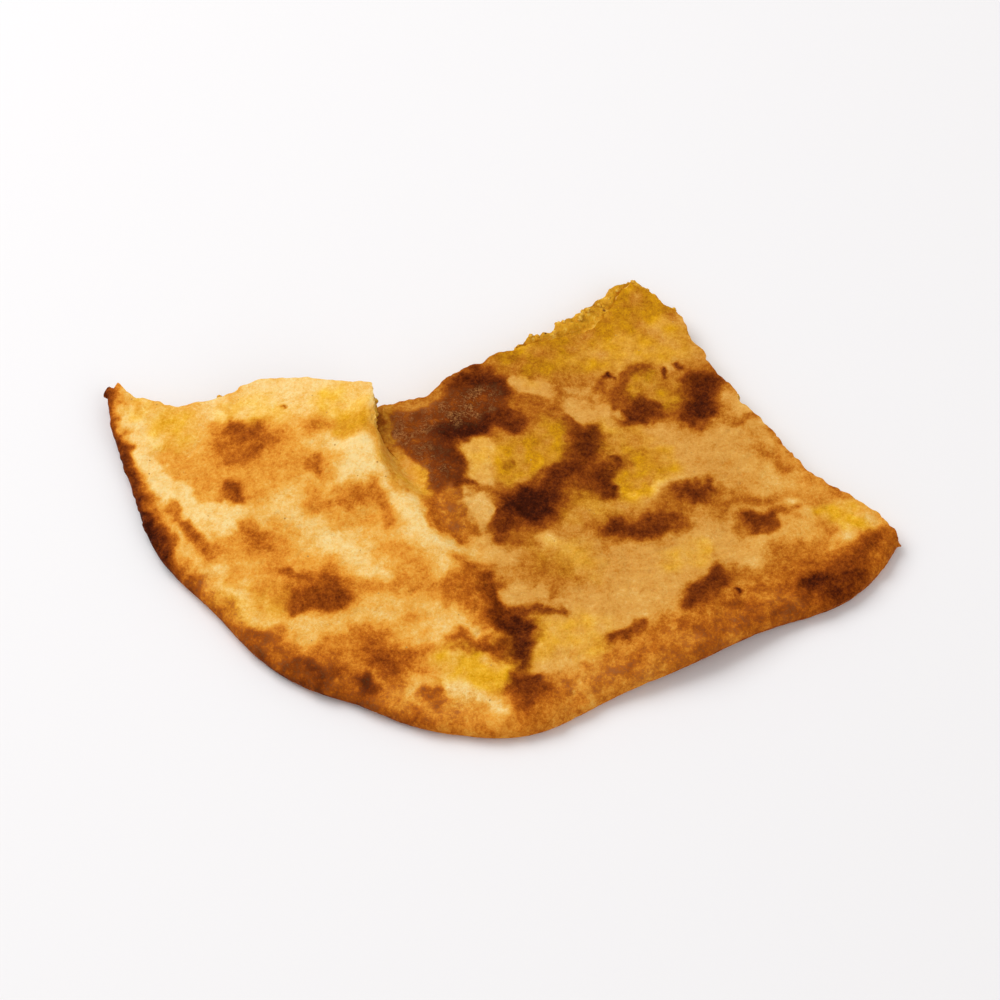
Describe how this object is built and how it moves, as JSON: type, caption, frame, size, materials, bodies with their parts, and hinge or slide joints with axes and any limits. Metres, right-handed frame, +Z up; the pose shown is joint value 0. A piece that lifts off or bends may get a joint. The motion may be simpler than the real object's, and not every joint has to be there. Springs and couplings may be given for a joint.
{
  "type": "aloo paratha quarter",
  "caption": "Cut quarter of a griddled potato-stuffed flatbread: two thin skins joined at a browned curved rim, potato layer showing at the cut sides, short tear with a lifted lobe.",
  "frame": {"origin": "centre of the bounding box in plan, on the surface that the piece lies on", "axes": "+X along the chord of the browned rim, from the curled left tip to the right corner; +Y from the rim towards the cut point; +Z up"},
  "size_m": [0.1416, 0.097, 0.013],
  "materials": {
    "dough": "griddled wheat dough, matt with a slight fat sheen, browned in patches",
    "potato": "mashed potato with turmeric, moist and grainy"
  },
  "bodies": {
    "root": {"dough": "dough", "potato_filling": "potato"}
  },
  "joints": []
}
